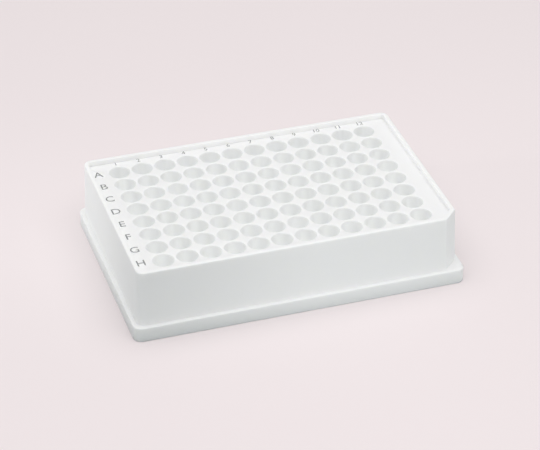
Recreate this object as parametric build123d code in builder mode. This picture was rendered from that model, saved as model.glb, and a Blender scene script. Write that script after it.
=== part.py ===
"""A well plate: ninety-six round wells in the standard laboratory footprint, moulded in one piece.

+Z is up. The origin is the middle of the base. +X runs along the long side from column 1 to column 12,
and +Y runs to the back, where row A is. All sizes are in millimetres.

The plate is a thin shell that is open beneath. A flange with the standard outline runs round its foot, the
body stands in from it and leans inwards as it rises, and a rim stands round the deck. The wells hang from
the deck as tubes that share their walls, with a diamond of air between each four of them, and ribs tie them
to the body.
"""

import os
from math import radians, tan

from build123d import *

os.makedirs("parts", exist_ok=True)

# The foot, with the standard footprint
foot_length = 127.76
foot_width = 85.48
foot_corner = 3.18
flange_height = 5.8

# The body
height = 28.0
ledge = 1.7  # how far the body's foot stands in from the flange
draft = 1.5  # degrees that the body leans inwards, so that it leaves the mould
wall = 1.6
body_corner = 3.0
notch = 5.6  # the cut corner that tells which way round the plate lies
rim_height = 2.0  # how far the rim stands above the deck
deck_thickness = 1.5
bevel = 0.4  # along the upper outer edges of the rim and the flange

# The wells
columns = 12
rows = 8
pitch = 9.0
well_radius = 4.1
well_sides = 20  # flats on each round well, which keep the facets of so many wells few
well_depth = 20.0
well_floor = 1.2
tube_wall = 0.8  # the least wall between a well and the air beside its tube

# The ribs between the tubes and the body
rib_thickness = 1.0
rib_pitches = 3  # wells from one rib to the next
long_side_ribs = 4
short_side_ribs = 2

# Worked out from the sizes above
body_length = foot_length - 2 * ledge
body_width = foot_width - 2 * ledge
lean = (height - flange_height) * tan(radians(draft))
ledge_underside = flange_height - wall
deck_top = height - rim_height
deck_underside = deck_top - deck_thickness
tubes_bottom = deck_top - well_depth - well_floor
tube_radius = well_radius + tube_wall
tubes_length = (columns - 1) * pitch + 2 * tube_radius
tubes_width = (rows - 1) * pitch + 2 * tube_radius
air_side = 2 * (pitch / 2**0.5 - tube_radius)
end_gap = body_length / 2 - wall - tubes_length / 2
side_gap = body_width / 2 - wall - tubes_width / 2
rib_spacing = rib_pitches * pitch


def body_plan(inset):
    """The plan of the body's foot taken in by inset: a cut corner at the front right, and three round ones."""
    with BuildSketch() as plan:
        Rectangle(body_length, body_width)
        front_right = plan.vertices().sort_by(Axis.X)[2:].sort_by(Axis.Y)[0]
        others = plan.vertices().sort_by(Axis.X)[:2] + plan.vertices().sort_by(Axis.Y)[2:].sort_by(Axis.X)[1:]
        fillet(others, radius=body_corner)
        chamfer(plan.vertices().sort_by_distance(front_right)[0], length=notch)
        if inset:
            offset(amount=-inset, kind=Kind.INTERSECTION)
    return plan.sketch


with BuildPart() as well_plate:
    # The flange and the body, with their upper edges broken
    with BuildSketch():
        RectangleRounded(foot_length, foot_width, foot_corner)
    extrude(amount=flange_height)
    chamfer(well_plate.faces().sort_by(Axis.Z)[-1].edges(), length=bevel)
    with BuildSketch(Plane.XY.offset(flange_height)):
        add(body_plan(0))
    extrude(amount=height - flange_height, taper=draft)
    chamfer(well_plate.faces().sort_by(Axis.Z)[-1].edges(), length=bevel)

    # The recess inside the rim
    with BuildSketch(Plane.XY.offset(deck_top)):
        add(body_plan(lean + wall))
    extrude(amount=rim_height, mode=Mode.SUBTRACT)

    # The hollow beneath: the flange's own, which takes the rim of a plate below, and the body's above it
    with BuildSketch():
        RectangleRounded(foot_length - 2 * wall, foot_width - 2 * wall, foot_corner - wall)
    extrude(amount=ledge_underside, mode=Mode.SUBTRACT)
    with BuildSketch(Plane.XY.offset(ledge_underside)):
        add(body_plan(wall))
    extrude(amount=deck_underside - ledge_underside, taper=draft, mode=Mode.SUBTRACT)

    # The tubes under the deck, with the air between them, and the ribs that tie them to the body, which run a
    # little into its leaning wall
    with BuildSketch(Plane.XY.offset(tubes_bottom)):
        Rectangle(tubes_length, tubes_width)
        with GridLocations(pitch, pitch, columns + 1, rows + 1):
            Rectangle(air_side, air_side, rotation=45, mode=Mode.SUBTRACT)
        with GridLocations(rib_spacing, tubes_width + side_gap, long_side_ribs, 2):
            Rectangle(rib_thickness, side_gap)
        with GridLocations(tubes_length + end_gap, rib_spacing, 2, short_side_ribs):
            Rectangle(end_gap, rib_thickness)
    extrude(amount=deck_underside - tubes_bottom)

    # The wells
    with BuildSketch(Plane.XY.offset(deck_top)):
        with GridLocations(pitch, pitch, columns, rows):
            RegularPolygon(radius=well_radius, side_count=well_sides)
    extrude(amount=-well_depth, mode=Mode.SUBTRACT)

well_plate.part.label = "well_plate"
export_step(well_plate.part, "parts/well_plate.step")
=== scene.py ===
# %% [markdown]
# # A well plate in natural plastic
#
# A well plate is a tray of small round wells that laboratories fill by hand or by robot. This one has
# twelve columns and eight rows. It is moulded in one shot from undyed polypropylene, so it is milky and
# lets some light through. We load the plate's fixed frame first, because every size comes from it.

# %% Load the frame
import math

import bmesh
import bpy
from mathutils import Matrix, Vector


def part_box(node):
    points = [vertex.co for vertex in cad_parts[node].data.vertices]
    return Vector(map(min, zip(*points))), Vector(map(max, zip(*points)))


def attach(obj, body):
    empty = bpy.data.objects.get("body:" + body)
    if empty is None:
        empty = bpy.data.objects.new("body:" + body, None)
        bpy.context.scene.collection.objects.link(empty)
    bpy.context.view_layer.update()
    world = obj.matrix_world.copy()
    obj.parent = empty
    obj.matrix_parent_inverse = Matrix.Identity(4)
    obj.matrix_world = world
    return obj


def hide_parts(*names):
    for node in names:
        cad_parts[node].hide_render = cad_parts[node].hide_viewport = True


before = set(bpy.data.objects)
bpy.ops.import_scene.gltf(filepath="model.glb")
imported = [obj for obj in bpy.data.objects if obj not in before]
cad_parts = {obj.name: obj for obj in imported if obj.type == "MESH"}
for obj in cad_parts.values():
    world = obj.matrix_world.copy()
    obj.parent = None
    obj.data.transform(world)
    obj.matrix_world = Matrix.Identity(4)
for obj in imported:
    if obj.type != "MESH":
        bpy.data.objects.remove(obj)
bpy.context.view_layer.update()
print("nodes:", list(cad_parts))

# %% [markdown]
# ## Sizes
#
# Blender works in metres, and moulded plates are drawn in millimetres, so MM turns one into the other.
# The outline and the height come from the frame's own box. The other sizes are those that a mould maker
# would read off the drawing: the standard pitch of the wells, and the thicknesses of the walls.

# %% Sizes
MM = 0.001
WELD = 0.001 * MM  # points nearer than this are one point
low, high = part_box("well_plate")
FOOT_LENGTH, FOOT_WIDTH, HEIGHT = (high[i] - low[i] for i in range(3))
FOOT_CORNER = 3.18 * MM
CORNER_SEGMENTS = 5
FLANGE_HEIGHT = 5.8 * MM
WALL = 1.6 * MM
LEDGE = 1.7 * MM
LEDGE_UNDERSIDE = FLANGE_HEIGHT - WALL
BODY_LENGTH = FOOT_LENGTH - 2 * LEDGE
BODY_WIDTH = FOOT_WIDTH - 2 * LEDGE
BODY_CORNER = 3.0 * MM
NOTCH = 5.6 * MM
DRAFT = math.radians(1.5)
LEAN = (HEIGHT - FLANGE_HEIGHT) * math.tan(DRAFT)
RIM_HEIGHT = 2.0 * MM
DECK_THICKNESS = 1.5 * MM
DECK_TOP = HEIGHT - RIM_HEIGHT
DECK_UNDERSIDE = DECK_TOP - DECK_THICKNESS
print("plate", [round(v / MM, 2) for v in (FOOT_LENGTH, FOOT_WIDTH, HEIGHT)], "mm")

# %% Sizes of the wells and their tubes
COLUMNS, ROWS, PITCH = 12, 8, 9.0 * MM
WELL_RADIUS = 4.1 * MM
WELL_DEPTH = 20.0 * MM
WELL_FLOOR = 1.2 * MM
TUBE_WALL = 0.8 * MM
TUBE_RADIUS = WELL_RADIUS + TUBE_WALL
TUBES_BOTTOM = DECK_TOP - WELL_DEPTH - WELL_FLOOR
TUBES_LENGTH = (COLUMNS - 1) * PITCH + 2 * TUBE_RADIUS
TUBES_WIDTH = (ROWS - 1) * PITCH + 2 * TUBE_RADIUS
FIRST_X = -(COLUMNS - 1) / 2 * PITCH
FIRST_Y = (ROWS - 1) / 2 * PITCH
print("wells", COLUMNS * ROWS, "of", round(2 * WELL_RADIUS / MM, 2), "mm")

# %% [markdown]
# ## Small helpers
#
# An operator acts on all that is selected, and a freshly loaded frame is selected. So each piece starts
# from a clean slate, and faces and edges are then picked by their place, as a hand would pick them.


# %% Helpers for edit mode
def begin(name, add, **how):
    """Adds one primitive with nothing else selected, names it, and opens it for editing."""
    bpy.ops.object.select_all(action="DESELECT")
    add(**how)
    piece = bpy.context.object
    piece.name = piece.data.name = name
    bpy.ops.object.mode_set(mode="EDIT")
    return piece


def pick(piece, kind, test):
    """Selects just the vertices, edges or faces that pass the test, and returns how many."""
    bpy.ops.mesh.select_mode(type={"verts": "VERT", "edges": "EDGE", "faces": "FACE"}[kind])
    bpy.ops.mesh.select_all(action="DESELECT")
    shape = bmesh.from_edit_mesh(piece.data)
    count = 0
    for part in getattr(shape, kind):
        corners = [part.co] if kind == "verts" else [v.co for v in part.verts]
        if test(part, corners):
            part.select_set(True)
            count += 1
    shape.select_flush_mode()
    bmesh.update_edit_mesh(piece.data)
    return count


def near(a, b):
    return abs(a - b) < WELD


def open_at(z):
    """A test for the edges of a hole in the surface, at one height."""
    return lambda edge, corners: edge.is_boundary and all(near(c.z, z) for c in corners)


def pull(x=0.0, y=0.0, z=0.0):
    bpy.ops.mesh.extrude_region_move(TRANSFORM_OT_translate={"value": (x, y, z)})


# %% Helpers for whole pieces
def choose(piece):
    """Selects one piece alone, and makes it the one that operators act on."""
    bpy.ops.object.select_all(action="DESELECT")
    piece.select_set(True)
    bpy.context.view_layer.objects.active = piece


def finish_edit(piece):
    """Leaves edit mode with the piece's place in its mesh and its object at the origin."""
    bpy.ops.object.mode_set(mode="OBJECT")
    bpy.ops.object.transform_apply(location=True, rotation=True, scale=True)
    return piece


def apply_modifier(piece, kind, **settings):
    bpy.context.view_layer.objects.active = piece
    modifier = piece.modifiers.new(kind.title(), kind)
    for key, value in settings.items():
        setattr(modifier, key, value)
    bpy.ops.object.modifier_apply(modifier=modifier.name)


def repeat(piece, count, step):
    """Copies the piece in a line with an Array modifier, welding what meets."""
    apply_modifier(
        piece,
        "ARRAY",
        count=count,
        use_relative_offset=False,
        use_constant_offset=True,
        constant_offset_displace=step,
        use_merge_vertices=True,
        merge_threshold=WELD,
    )


def repeat_over_grid(piece):
    """Copies one well's share of the plate over all columns and rows."""
    repeat(piece, COLUMNS, (PITCH, 0, 0))
    repeat(piece, ROWS, (0, -PITCH, 0))


def report_skin(piece):
    """Prints how many faces a piece has, and whether its skin is closed."""
    skin = bmesh.new()
    skin.from_mesh(piece.data)
    gaps = sum(not edge.is_manifold for edge in skin.edges)
    litres = skin.calc_volume() / MM**3 / 1e6
    print(piece.name, len(skin.faces), "faces,", gaps, "open edges,", round(litres, 5), "litres of plastic")
    skin.free()


# %% [markdown]
# ## The inside of the wells
#
# In the mould, each well is the print of a steel core pin. A ring of edges at the mouth is pulled down to
# make the wall, then drawn in twice for the rounded foot, and the floor closes it. One well is enough:
# two Array modifiers repeat it, as the mould maker repeats the pin.

# %% One well, repeated
MOUTH_SIDES = 32
WELL_ROUND = 0.8 * MM
ROUND_HEIGHTS = (0.7 * WELL_ROUND, 0.3 * WELL_ROUND)
ROUND_RADII = (WELL_RADIUS, WELL_RADIUS - 0.3 * WELL_ROUND, WELL_RADIUS - WELL_ROUND)
wells = begin(
    "well_insides",
    bpy.ops.mesh.primitive_circle_add,
    vertices=MOUTH_SIDES,
    radius=WELL_RADIUS,
    fill_type="NOTHING",
    location=(FIRST_X, FIRST_Y, DECK_TOP),
)
bpy.ops.mesh.select_all(action="SELECT")
pull(z=-(WELL_DEPTH - WELL_ROUND))
for drop, wide, narrow in zip(ROUND_HEIGHTS, ROUND_RADII, ROUND_RADII[1:]):
    pull(z=-drop)
    bpy.ops.transform.resize(
        value=(narrow / wide, narrow / wide, 1), center_override=(FIRST_X, FIRST_Y, 0)
    )
bpy.ops.mesh.edge_face_add()
finish_edit(wells)
repeat_over_grid(wells)
print("wells:", len(wells.data.polygons), "faces")

# %% [markdown]
# ## The outside of the tubes
#
# Seen from beneath, the wells are tubes that share their walls, with a diamond of air between each four.
# A square with its corners bevelled off is one tube's end. Repeated and welded, the squares leave the
# diamonds open, and pulling up the open edges makes every wall at once.

# %% The lattice of tubes
AIR_REACH = PITCH - TUBE_RADIUS * math.sqrt(2)
tubes = begin(
    "tube_outsides", bpy.ops.mesh.primitive_plane_add, size=PITCH, location=(FIRST_X, FIRST_Y, TUBES_BOTTOM)
)
bpy.ops.mesh.select_mode(type="VERT")
bpy.ops.mesh.select_all(action="SELECT")
bpy.ops.mesh.bevel(offset=AIR_REACH, segments=1, affect="VERTICES")
finish_edit(tubes)
repeat_over_grid(tubes)

# %% Outer flats, walls and roofs of the lattice
bpy.ops.object.mode_set(mode="EDIT")
for axis, grid_half, wanted_half in (
    (0, COLUMNS * PITCH / 2, TUBES_LENGTH / 2),
    (1, ROWS * PITCH / 2, TUBES_WIDTH / 2),
):
    for side in (-1, 1):
        pick(tubes, "verts", lambda v, corners: near(v.co[axis], side * grid_half))
        step = [0, 0, 0]
        step[axis] = side * (wanted_half - grid_half)
        bpy.ops.transform.translate(value=step)
pick(tubes, "edges", open_at(TUBES_BOTTOM))
pull(z=DECK_UNDERSIDE - TUBES_BOTTOM)
pick(tubes, "edges", open_at(DECK_UNDERSIDE))
bpy.ops.mesh.fill_holes(sides=4)
finish_edit(tubes)
print("tubes:", len(tubes.data.polygons), "faces")

# %% [markdown]
# ## The shell
#
# The shell is one wall that runs round the plate: up the flange, in over the ledge, up the body, over the
# rim and down to the deck, and the same again on the inside. Each outline starts as a plane with its
# corners rounded, and its edges are pulled up. The body's edges are then drawn in a little: its walls lean
# by a degree and a half, the draft that lets the plate leave its mould. The ledges are filled in between two
# outlines.


# %% Outlines
def add_outline(piece, length, width, z, corner_radius, cut=0.0):
    """Adds an open loop of edges: a rectangle with round corners, where the front right one may be cut."""
    bpy.ops.mesh.select_all(action="DESELECT")
    bpy.ops.mesh.primitive_plane_add(size=1, location=(0, 0, z))
    bpy.ops.transform.resize(value=(length, width, 1), center_override=(0, 0, z))
    bpy.ops.mesh.delete(type="ONLY_FACE")

    def corner(v, corners):
        place = v.co
        return near(place.z, z) and near(abs(place.x), length / 2) and near(abs(place.y), width / 2)

    def front_right(v, corners):
        return corner(v, corners) and v.co.x > 0 and v.co.y < 0

    if cut:
        pick(piece, "verts", front_right)
        bpy.ops.mesh.bevel(offset=cut, segments=1, affect="VERTICES")
    pick(piece, "verts", corner)
    bpy.ops.mesh.bevel(offset=corner_radius, segments=CORNER_SEGMENTS, affect="VERTICES")


def add_foot_outline(piece, z, inset):
    add_outline(piece, FOOT_LENGTH - 2 * inset, FOOT_WIDTH - 2 * inset, z, FOOT_CORNER - inset)


def add_body_outline(piece, z, inset, lean=0.0):
    """The body's plan, or its inner wall's, where the cut corner keeps the wall's thickness."""
    cut = NOTCH - inset * (2 - math.sqrt(2))
    length, width = BODY_LENGTH - 2 * (lean + inset), BODY_WIDTH - 2 * (lean + inset)
    add_outline(piece, length, width, z, BODY_CORNER - inset, cut)


def raise_wall(piece, rise):
    pick(piece, "edges", lambda edge, corners: edge.is_wire)
    pull(z=rise)


# %% The flange's walls and the recess inside the rim
shell = begin("shell", bpy.ops.mesh.primitive_plane_add, size=1)
bpy.ops.mesh.delete(type="VERT")
add_foot_outline(shell, 0.0, 0.0)
raise_wall(shell, FLANGE_HEIGHT)
add_foot_outline(shell, 0.0, WALL)
raise_wall(shell, LEDGE_UNDERSIDE)
add_body_outline(shell, DECK_TOP, WALL, LEAN)
raise_wall(shell, HEIGHT - DECK_TOP)

# %% The body's leaning walls, and the ledges
for z_low, z_high, inset in ((FLANGE_HEIGHT, HEIGHT, 0.0), (LEDGE_UNDERSIDE, DECK_UNDERSIDE, WALL)):
    add_body_outline(shell, z_low, inset)
    raise_wall(shell, z_high - z_low)
    drawn_in = (z_high - z_low) * math.tan(DRAFT)
    shrink = [1 - drawn_in / (size / 2 - inset) for size in (BODY_LENGTH, BODY_WIDTH)]
    bpy.ops.transform.resize(value=(*shrink, 1), center_override=(0, 0, 0))
for level in (0.0, FLANGE_HEIGHT, HEIGHT, LEDGE_UNDERSIDE):
    pick(shell, "edges", open_at(level))
    bpy.ops.mesh.fill(use_beauty=True)
finish_edit(shell)
print("shell:", len(shell.data.polygons), "faces")

# %% [markdown]
# ## One moulding
#
# The three surfaces are joined. The deck is filled between the well mouths and the rim, and its underside
# between the tubes and the body, which closes the plate into one skin.

# %% Join and close
bpy.ops.object.select_all(action="DESELECT")
for piece in (wells, tubes, shell):
    piece.select_set(True)
bpy.context.view_layer.objects.active = shell
bpy.ops.object.join()
plate = shell
plate.name = plate.data.name = "moulded_plate"
bpy.ops.object.mode_set(mode="EDIT")
for level in (DECK_TOP, DECK_UNDERSIDE):
    pick(plate, "edges", open_at(level))
    bpy.ops.mesh.fill(use_beauty=True)
bpy.ops.mesh.select_all(action="SELECT")
bpy.ops.mesh.remove_doubles(threshold=WELD)
bpy.ops.mesh.normals_make_consistent(inside=False)
finish_edit(plate)
report_skin(plate)

# %% [markdown]
# ## Round edges
#
# Moulded edges are never sharp. The outer edges of the rim and the flange, which hands and grippers touch,
# get a round of 0.4 mm. A Bevel modifier is set to 0.25 mm for every other edge, but it clamps all its
# rounds by the shortest edge it meets. That edge is 0.01 mm long, at the flange's front right corner, so
# the other edges come out nearly sharp, with rounds of about 0.002 mm.

# %% The handled edges
HANDLED_ROUND = 0.4 * MM
SMALL_ROUND = 0.25 * MM
choose(plate)
bpy.ops.object.mode_set(mode="EDIT")


def outer_edge(z):
    """A test for the edges at one height above a wall that faces outwards."""

    def wall_below(face):
        middle, normal = face.calc_center_median(), face.normal
        outwards = normal.x * middle.x + normal.y * middle.y > 0
        return abs(normal.z) < 0.1 and outwards and middle.z < z

    return lambda edge, corners: all(near(c.z, z) for c in corners) and any(map(wall_below, edge.link_faces))


for z in (HEIGHT, FLANGE_HEIGHT):
    print("handled edges:", pick(plate, "edges", outer_edge(z)))
    bpy.ops.mesh.bevel(offset=HANDLED_ROUND, segments=4, affect="EDGES")
finish_edit(plate)

# %% All the other edges
sharp = math.radians(30)
apply_modifier(plate, "BEVEL", width=SMALL_ROUND, segments=2, limit_method="ANGLE", angle_limit=sharp)
report_skin(plate)

# %% [markdown]
# ## Ribs
#
# Thin ribs tie the block of tubes to the body, so that the long walls do not bow in when the plastic
# shrinks. One rib is a thin box with rounded lower edges that bites a little into the walls at both ends.
# It is repeated along its side, mirrored to the other side, and a Boolean modifier then melts all the ribs
# into the plate. They come after the rounding, because the Bevel modifier would tangle where they meet it.

# %% Ribs for the long and the short sides
RIB_THICKNESS = 1.0 * MM
RIB_SPACING = 3 * PITCH
RIB_FOOT = TUBES_BOTTOM + 0.2 * MM
BITE = 0.4 * MM
LONG_SIDE_RIBS, SHORT_SIDE_RIBS = 4, 2


def add_ribs(name, across, count, inner, outer):
    """Ribs from inner to outer along one axis, spaced along the other axis, on both sides."""
    along = 1 - across
    size, middle, step = [0, 0, 0], [0, 0, 0], [0, 0, 0]
    size[across], middle[across] = outer - inner + 2 * BITE, (inner + outer) / 2
    size[along], middle[along] = RIB_THICKNESS, -(count - 1) / 2 * RIB_SPACING
    size[2] = DECK_UNDERSIDE - RIB_FOOT + BITE
    middle[2] = RIB_FOOT + size[2] / 2
    step[along] = RIB_SPACING

    def along_foot(edge, corners):
        a, b = corners
        return a.z < 0 and b.z < 0 and near(a[along], b[along])

    ribs = begin(name, bpy.ops.mesh.primitive_cube_add, size=1, location=middle)
    bpy.ops.transform.resize(value=size, center_override=middle)
    pick(ribs, "edges", along_foot)
    bpy.ops.mesh.bevel(offset=0.3 * RIB_THICKNESS, segments=2, affect="EDGES")
    finish_edit(ribs)
    repeat(ribs, count, step)
    apply_modifier(ribs, "MIRROR", use_axis=(across == 0, across == 1, False))
    return ribs


long_ribs = add_ribs("long_side_ribs", 1, LONG_SIDE_RIBS, TUBES_WIDTH / 2, BODY_WIDTH / 2 - WALL)
short_ribs = add_ribs("short_side_ribs", 0, SHORT_SIDE_RIBS, TUBES_LENGTH / 2, BODY_LENGTH / 2 - WALL)


# %% Melt them into the plate
def melt_in(piece):
    """Unites a piece with the plate and takes the loose piece away."""
    bpy.ops.object.select_all(action="DESELECT")
    piece.select_set(True)
    apply_modifier(plate, "BOOLEAN", operation="UNION", object=piece, solver="MANIFOLD")
    bpy.ops.object.delete()


for ribs in (long_ribs, short_ribs):
    melt_in(ribs)
report_skin(plate)

# %% [markdown]
# ## Letters and numbers
#
# Each row has a letter and each column a number, raised a little above the deck so that the wells can be
# found. They are cut into the mould, so here too they become part of the plate. A text object is turned
# into a mesh, its doubles are merged, and the Boolean modifier melts it in.

# %% Raised signs
SIGN_RAISE = 0.35 * MM
LETTER_SIZE, NUMBER_SIZE = 5.2 * MM, 3.0 * MM
LETTER_INSET = 2.2 * MM
INNER_LENGTH, INNER_WIDTH = (size - 2 * (LEAN + WALL) for size in (BODY_LENGTH, BODY_WIDTH))
LEFT_MARGIN = -INNER_LENGTH / 2 + LETTER_INSET
BACK_MARGIN = (INNER_WIDTH / 2 + FIRST_Y + WELL_RADIUS) / 2


def add_sign(body, size, x, y):
    """One raised letter or number, centred on its place in the margin."""
    bpy.ops.object.select_all(action="DESELECT")
    bpy.ops.object.text_add(location=(x, y, DECK_TOP))
    sign = bpy.context.object
    sign.data.body = body
    sign.data.size = size
    sign.data.align_x, sign.data.align_y = "CENTER", "CENTER"
    sign.data.extrude = SIGN_RAISE
    sign.data.resolution_u = 3
    bpy.ops.object.convert(target="MESH")
    return finish_edit(sign)


signs = [add_sign("ABCDEFGH"[row], LETTER_SIZE, LEFT_MARGIN, FIRST_Y - row * PITCH) for row in range(ROWS)]
signs += [
    add_sign(str(column + 1), NUMBER_SIZE, FIRST_X + column * PITCH, BACK_MARGIN)
    for column in range(COLUMNS)
]

# %% Melt the signs in
for sign in signs:
    sign.select_set(True)
bpy.context.view_layer.objects.active = signs[0]
bpy.ops.object.join()
signs = bpy.context.object
bpy.ops.object.mode_set(mode="EDIT")
bpy.ops.mesh.select_all(action="SELECT")
bpy.ops.mesh.remove_doubles(threshold=WELD)
bpy.ops.mesh.normals_make_consistent(inside=False)
finish_edit(signs)
signs.name = "signs"
report_skin(signs)
melt_in(signs)
report_skin(plate)

# %% [markdown]
# ## Smooth shading, and its place in the frame
#
# Faces that meet at less than 35 degrees are shaded as one curved surface. The plate stands in for the
# frame's solid and rides on its only body.

# %% Shade and hand over to the frame
choose(plate)
bpy.ops.object.shade_smooth_by_angle(angle=math.radians(35))
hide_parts("well_plate")
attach(plate, "root")

# %% [markdown]
# ## Natural polypropylene
#
# Undyed polypropylene is milky: light goes in, scatters and comes out again a little way off. So it gets
# subsurface scattering with a reach of about a millimetre, close to the thickness of its walls. The plastic
# flows into the mould in slow waves, which leave clouds a little clearer and a little glossier than the
# rest, and the eroded steel leaves a fine satin grain. The colour is nearly white: the plastic keeps almost
# none of the light that goes in.


# %% The plastic
def natural_polypropylene():
    material = bpy.data.materials.new("natural_polypropylene")
    material.use_nodes = True
    nodes, links = material.node_tree.nodes, material.node_tree.links
    shader = nodes["Principled BSDF"]
    shader.inputs["IOR"].default_value = 1.49
    shader.inputs["Subsurface Weight"].default_value = 1.0
    shader.inputs["Subsurface Radius"].default_value = (1.0, 1.0, 0.95)
    shader.inputs["Subsurface Scale"].default_value = 0.8 * MM
    place = nodes.new("ShaderNodeTexCoord")

    clouds = nodes.new("ShaderNodeTexNoise")
    clouds.inputs["Scale"].default_value = 70
    clouds.inputs["Detail"].default_value = 3
    links.new(place.outputs["Object"], clouds.inputs["Vector"])
    tint = nodes.new("ShaderNodeMix")
    tint.data_type = "RGBA"
    tint.inputs["A"].default_value = (0.97, 0.982, 0.977, 1)
    tint.inputs["B"].default_value = (0.99, 0.995, 0.993, 1)
    links.new(clouds.outputs["Fac"], tint.inputs["Factor"])
    links.new(tint.outputs["Result"], shader.inputs["Base Color"])
    gloss = nodes.new("ShaderNodeMapRange")
    gloss.inputs["From Min"].default_value = 0.3
    gloss.inputs["From Max"].default_value = 0.7
    gloss.inputs["To Min"].default_value = 0.3
    gloss.inputs["To Max"].default_value = 0.42
    links.new(clouds.outputs["Fac"], gloss.inputs["Value"])
    links.new(gloss.outputs["Result"], shader.inputs["Roughness"])

    grain = nodes.new("ShaderNodeTexNoise")
    grain.inputs["Scale"].default_value = 1800
    bump = nodes.new("ShaderNodeBump")
    bump.inputs["Strength"].default_value = 0.08
    bump.inputs["Distance"].default_value = 0.1 * MM
    links.new(place.outputs["Object"], grain.inputs["Vector"])
    links.new(grain.outputs["Fac"], bump.inputs["Height"])
    links.new(bump.outputs["Normal"], shader.inputs["Normal"])
    return material


# %% [markdown]
# ## Grey on the signs
#
# The tops of the signs are dark grey. They are picked by their height and given a material slot of their
# own.

# %% The grey of the signs
# Dark grey for the tops of the signs
SIGN_GREY_COLOUR = (0.26, 0.27, 0.27, 1)


def sign_grey():
    material = bpy.data.materials.new("sign_grey")
    material.use_nodes = True
    shader = material.node_tree.nodes["Principled BSDF"]
    shader.inputs["Base Color"].default_value = SIGN_GREY_COLOUR
    shader.inputs["Roughness"].default_value = 0.5
    return material


def sign_top(face, corners):
    return all(near(corner.z, DECK_TOP + SIGN_RAISE) for corner in corners)


plate.data.materials.clear()
for material in (natural_polypropylene(), sign_grey()):
    plate.data.materials.append(material)
bpy.ops.object.mode_set(mode="EDIT")
bpy.ops.mesh.select_all(action="SELECT")
plate.active_material_index = 0
bpy.ops.object.material_slot_assign()
print("dark grey sign tops:", pick(plate, "faces", sign_top))
plate.active_material_index = 1
bpy.ops.object.material_slot_assign()
bpy.ops.object.mode_set(mode="OBJECT")

# %% [markdown]
# ## Floor, light and camera
#
# The light is plain: a pale world, one wide soft lamp overhead, and two weak spots low down. The spots
# light the front and the back part of the left side, and both leave out the corner between them, which
# falls off a little and shows its form. Light that has gone from wall to wall many times is what makes
# milky wells bright, so it is followed for longer than usual.
#
# The floor looks pale pink, but so pale a floor would throw pink light back at white plastic. The Light Path
# node keeps the two apart: what a viewer sees, directly or in a gloss, is the pink, and what lights the
# plate is a cool grey.

# %% Floor
SEEN_COLOUR = (0.885, 0.806, 0.815, 1)
GIVEN_COLOUR = (0.435, 0.48, 0.475, 1)
bpy.ops.object.select_all(action="DESELECT")
bpy.ops.mesh.primitive_plane_add(size=6)
floor = bpy.context.object
floor.name = "floor"


def floor_paint():
    material = bpy.data.materials.new("floor_paint")
    material.use_nodes = True
    nodes, links = material.node_tree.nodes, material.node_tree.links
    seen = nodes["Principled BSDF"]
    seen.inputs["Base Color"].default_value = SEEN_COLOUR
    seen.inputs["Roughness"].default_value = 1.0
    given = nodes.new("ShaderNodeBsdfDiffuse")
    given.inputs["Color"].default_value = GIVEN_COLOUR
    path = nodes.new("ShaderNodeLightPath")
    view = path.outputs["Is Camera Ray"]
    for kind in ("Is Glossy Ray", "Is Transmission Ray"):
        either = nodes.new("ShaderNodeMath")
        either.operation = "MAXIMUM"
        links.new(view, either.inputs[0])
        links.new(path.outputs[kind], either.inputs[1])
        view = either.outputs["Value"]
    blend = nodes.new("ShaderNodeMixShader")
    links.new(view, blend.inputs["Fac"])
    links.new(given.outputs["BSDF"], blend.inputs[1])
    links.new(seen.outputs["BSDF"], blend.inputs[2])
    links.new(blend.outputs["Shader"], nodes["Material Output"].inputs["Surface"])
    return material


floor.data.materials.append(floor_paint())

# %% World and lamps
world = bpy.data.worlds.new("studio")
world.use_nodes = True
sky = world.node_tree.nodes["Background"]
sky.inputs["Color"].default_value = (1, 1, 1, 1)
sky.inputs["Strength"].default_value = 0.575
bpy.context.scene.world = world
bpy.context.scene.cycles.max_bounces = 24
bpy.context.scene.cycles.diffuse_bounces = 16


def hang(name, lamp, place, aim):
    """Puts a lamp at a place and turns it to what it lights."""
    holder = bpy.data.objects.new(name, lamp)
    bpy.context.scene.collection.objects.link(holder)
    holder.location = place
    holder.rotation_euler = (Vector(aim) - Vector(place)).to_track_quat("-Z", "Y").to_euler()


def low_spot(name, place, aim, width, blend, watts):
    """A spot near the floor, whose light falls off softly to the edge of its cone."""
    lamp = bpy.data.lights.new(name, "SPOT")
    lamp.energy = watts
    lamp.spot_size = math.radians(width)
    lamp.spot_blend = blend
    lamp.shadow_soft_size = 0.04
    hang(name, lamp, place, aim)


# Places and aims are in metres, and the cones' widths in degrees
top_lamp = bpy.data.lights.new("top_lamp", "AREA")
top_lamp.shape = "DISK"
top_lamp.size = 1.2
top_lamp.energy = 3.9
hang("top_lamp", top_lamp, place=(0, -0.1, 0.8), aim=(0, 0, 0.01))
low_spot("front_spot", (0.05, -0.7, 0.04), (0.03, -0.04, 0.018), width=13, blend=0.6, watts=2.6)
low_spot("left_spot", (-0.6, 0.15, 0.05), (-0.061, 0.05, 0.018), width=18, blend=1.0, watts=3.6)

# %% Camera
AZIMUTH, ELEVATION, ROLL = math.radians(-17.525), math.radians(33.112), math.radians(-0.223)
DISTANCE = 877 * MM
AIM = Vector((0.51, -0.71, 12.0)) * MM
back = Vector(
    (
        math.sin(AZIMUTH) * math.cos(ELEVATION),
        -math.cos(AZIMUTH) * math.cos(ELEVATION),
        math.sin(ELEVATION),
    )
)
lens = bpy.data.cameras.new("camera")
lens.sensor_width = 36
lens.lens = 154.14
camera = bpy.data.objects.new("camera", lens)
bpy.context.scene.collection.objects.link(camera)
turn = (-back).to_track_quat("-Z", "Y").to_matrix() @ Matrix.Rotation(ROLL, 3, "Z")
camera.matrix_world = Matrix.Translation(AIM + back * DISTANCE) @ turn.to_4x4()
bpy.context.scene.camera = camera
bpy.context.scene.view_settings.view_transform = "Standard"
